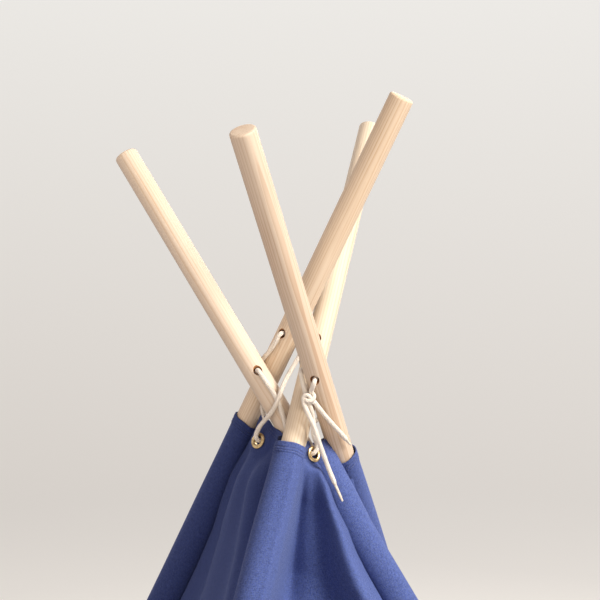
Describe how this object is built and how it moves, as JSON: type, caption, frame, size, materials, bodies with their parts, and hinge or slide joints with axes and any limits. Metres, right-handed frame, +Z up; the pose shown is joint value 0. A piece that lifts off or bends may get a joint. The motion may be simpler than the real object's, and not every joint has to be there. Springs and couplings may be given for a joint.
{
  "type": "kids teepee",
  "caption": "Indoor play tent for small children: crossed wooden poles in the corner sleeves of a square canvas cover, tied at the top with cotton cord, with a split door.",
  "frame": {"origin": "on the floor under the middle of the tent, at the bottom centre of its bounding box", "axes": "+Z up; the split door faces -Y; +X is to the right of someone who looks in through the door"},
  "size_m": [1.1018, 1.1278, 1.5893],
  "materials": {
    "pole": "smooth sanded pine, unvarnished",
    "joiner": "brushed",
    "sleeve": "plain-weave cotton canvas",
    "cover": "plain-weave cotton canvas",
    "door": "plain-weave cotton canvas",
    "eyelet": "antique brass",
    "cord": "twisted natural cotton"
  },
  "bodies": {
    "back_left_leg": {"pole_lower_back_left": "pole", "pole_upper_back_left": "pole", "pole_joiner_back_left": "joiner", "sleeve_back_left": "sleeve"},
    "cover_hub": {"cover_panel_left": "cover", "cover_panel_back": "cover", "cover_panel_right": "cover", "cover_front_header": "cover", "eyelet_left": "eyelet", "eyelet_back": "eyelet", "eyelet_washer_left": "eyelet", "eyelet_washer_back": "eyelet", "lacing_cord": "cord", "tie_cord_loop": "cord", "tie_knot": "cord", "tie_tail_long": "cord", "tie_tail_short": "cord"},
    "front_left_leg": {"pole_lower_front_left": "pole", "pole_upper_front_left": "pole", "pole_joiner_front_left": "joiner", "sleeve_front_left": "sleeve", "door_tie_left": "door", "eyelet_front": "eyelet", "eyelet_washer_front": "eyelet"},
    "front_right_leg": {"pole_lower_front_right": "pole", "pole_upper_front_right": "pole", "pole_joiner_front_right": "joiner", "sleeve_front_right": "sleeve", "door_tie_right": "door"},
    "back_right_leg": {"pole_lower_back_right": "pole", "pole_upper_back_right": "pole", "pole_joiner_back_right": "joiner", "sleeve_back_right": "sleeve", "eyelet_right": "eyelet", "eyelet_washer_right": "eyelet"},
    "door_flap_left_body": {"door_flap_left": "door"},
    "door_flap_right_body": {"door_flap_right": "door"}
  },
  "joints": [
    {"name": "fold_back_left", "type": "hinge", "parent": "back_left_leg", "child": "cover_hub", "pos_m": [-0.08845, 0.05376, 1.165], "axis": [0.7429, 0.6694, 0], "range_deg": [0, 25.1], "deforming": ["cover_panel_left", "cover_panel_back", "cover_panel_right", "cover_front_header", "door_flap_left", "door_flap_right", "lacing_cord", "tie_cord_loop", "tie_knot", "tie_tail_long", "tie_tail_short"]},
    {"name": "fold_front_left", "type": "hinge", "parent": "cover_hub", "child": "front_left_leg", "pos_m": [-0.05292, -0.06233, 1.165], "axis": [0.7136, -0.7005, 0], "range_deg": [0, 25.59], "deforming": ["cover_panel_left", "cover_panel_back", "cover_panel_right", "cover_front_header", "door_flap_left", "door_flap_right", "lacing_cord", "tie_cord_loop", "tie_knot", "tie_tail_long", "tie_tail_short"]},
    {"name": "fold_front_right", "type": "hinge", "parent": "cover_hub", "child": "front_right_leg", "pos_m": [-0.05383, -0.0255, 1.165], "axis": [0.6295, 0.777, 0], "range_deg": [0, 27.95], "deforming": ["cover_panel_left", "cover_panel_back", "cover_panel_right", "cover_front_header", "door_flap_left", "door_flap_right", "lacing_cord", "tie_cord_loop", "tie_knot", "tie_tail_long", "tie_tail_short"]},
    {"name": "fold_back_right", "type": "hinge", "parent": "cover_hub", "child": "back_right_leg", "pos_m": [-0.00344, -0.05999, 1.165], "axis": [-0.7208, 0.6932, 0], "range_deg": [0, 28.33], "deforming": ["cover_panel_left", "cover_panel_back", "cover_panel_right", "cover_front_header", "door_flap_left", "door_flap_right", "lacing_cord", "tie_cord_loop", "tie_knot", "tie_tail_long", "tie_tail_short"]},
    {"name": "door_left_swing", "type": "hinge", "parent": "front_left_leg", "child": "door_flap_left_body", "pos_m": [-0.5219, -0.56207, 0.01813], "axis": [-0.3541, -0.3582, -0.8639], "range_deg": [0, 130]},
    {"name": "door_right_swing", "type": "hinge", "parent": "front_right_leg", "child": "door_flap_right_body", "pos_m": [0.52814, -0.51706, 0.01932], "axis": [-0.4199, 0.3429, 0.8403], "range_deg": [0, 130]}
  ],
  "couplings": [
    {"joint": "fold_front_left", "follows": "fold_back_left", "ratio": 1.0189},
    {"joint": "fold_front_right", "follows": "fold_back_left", "ratio": 1.1133},
    {"joint": "fold_back_right", "follows": "fold_back_left", "ratio": 1.1281}
  ]
}
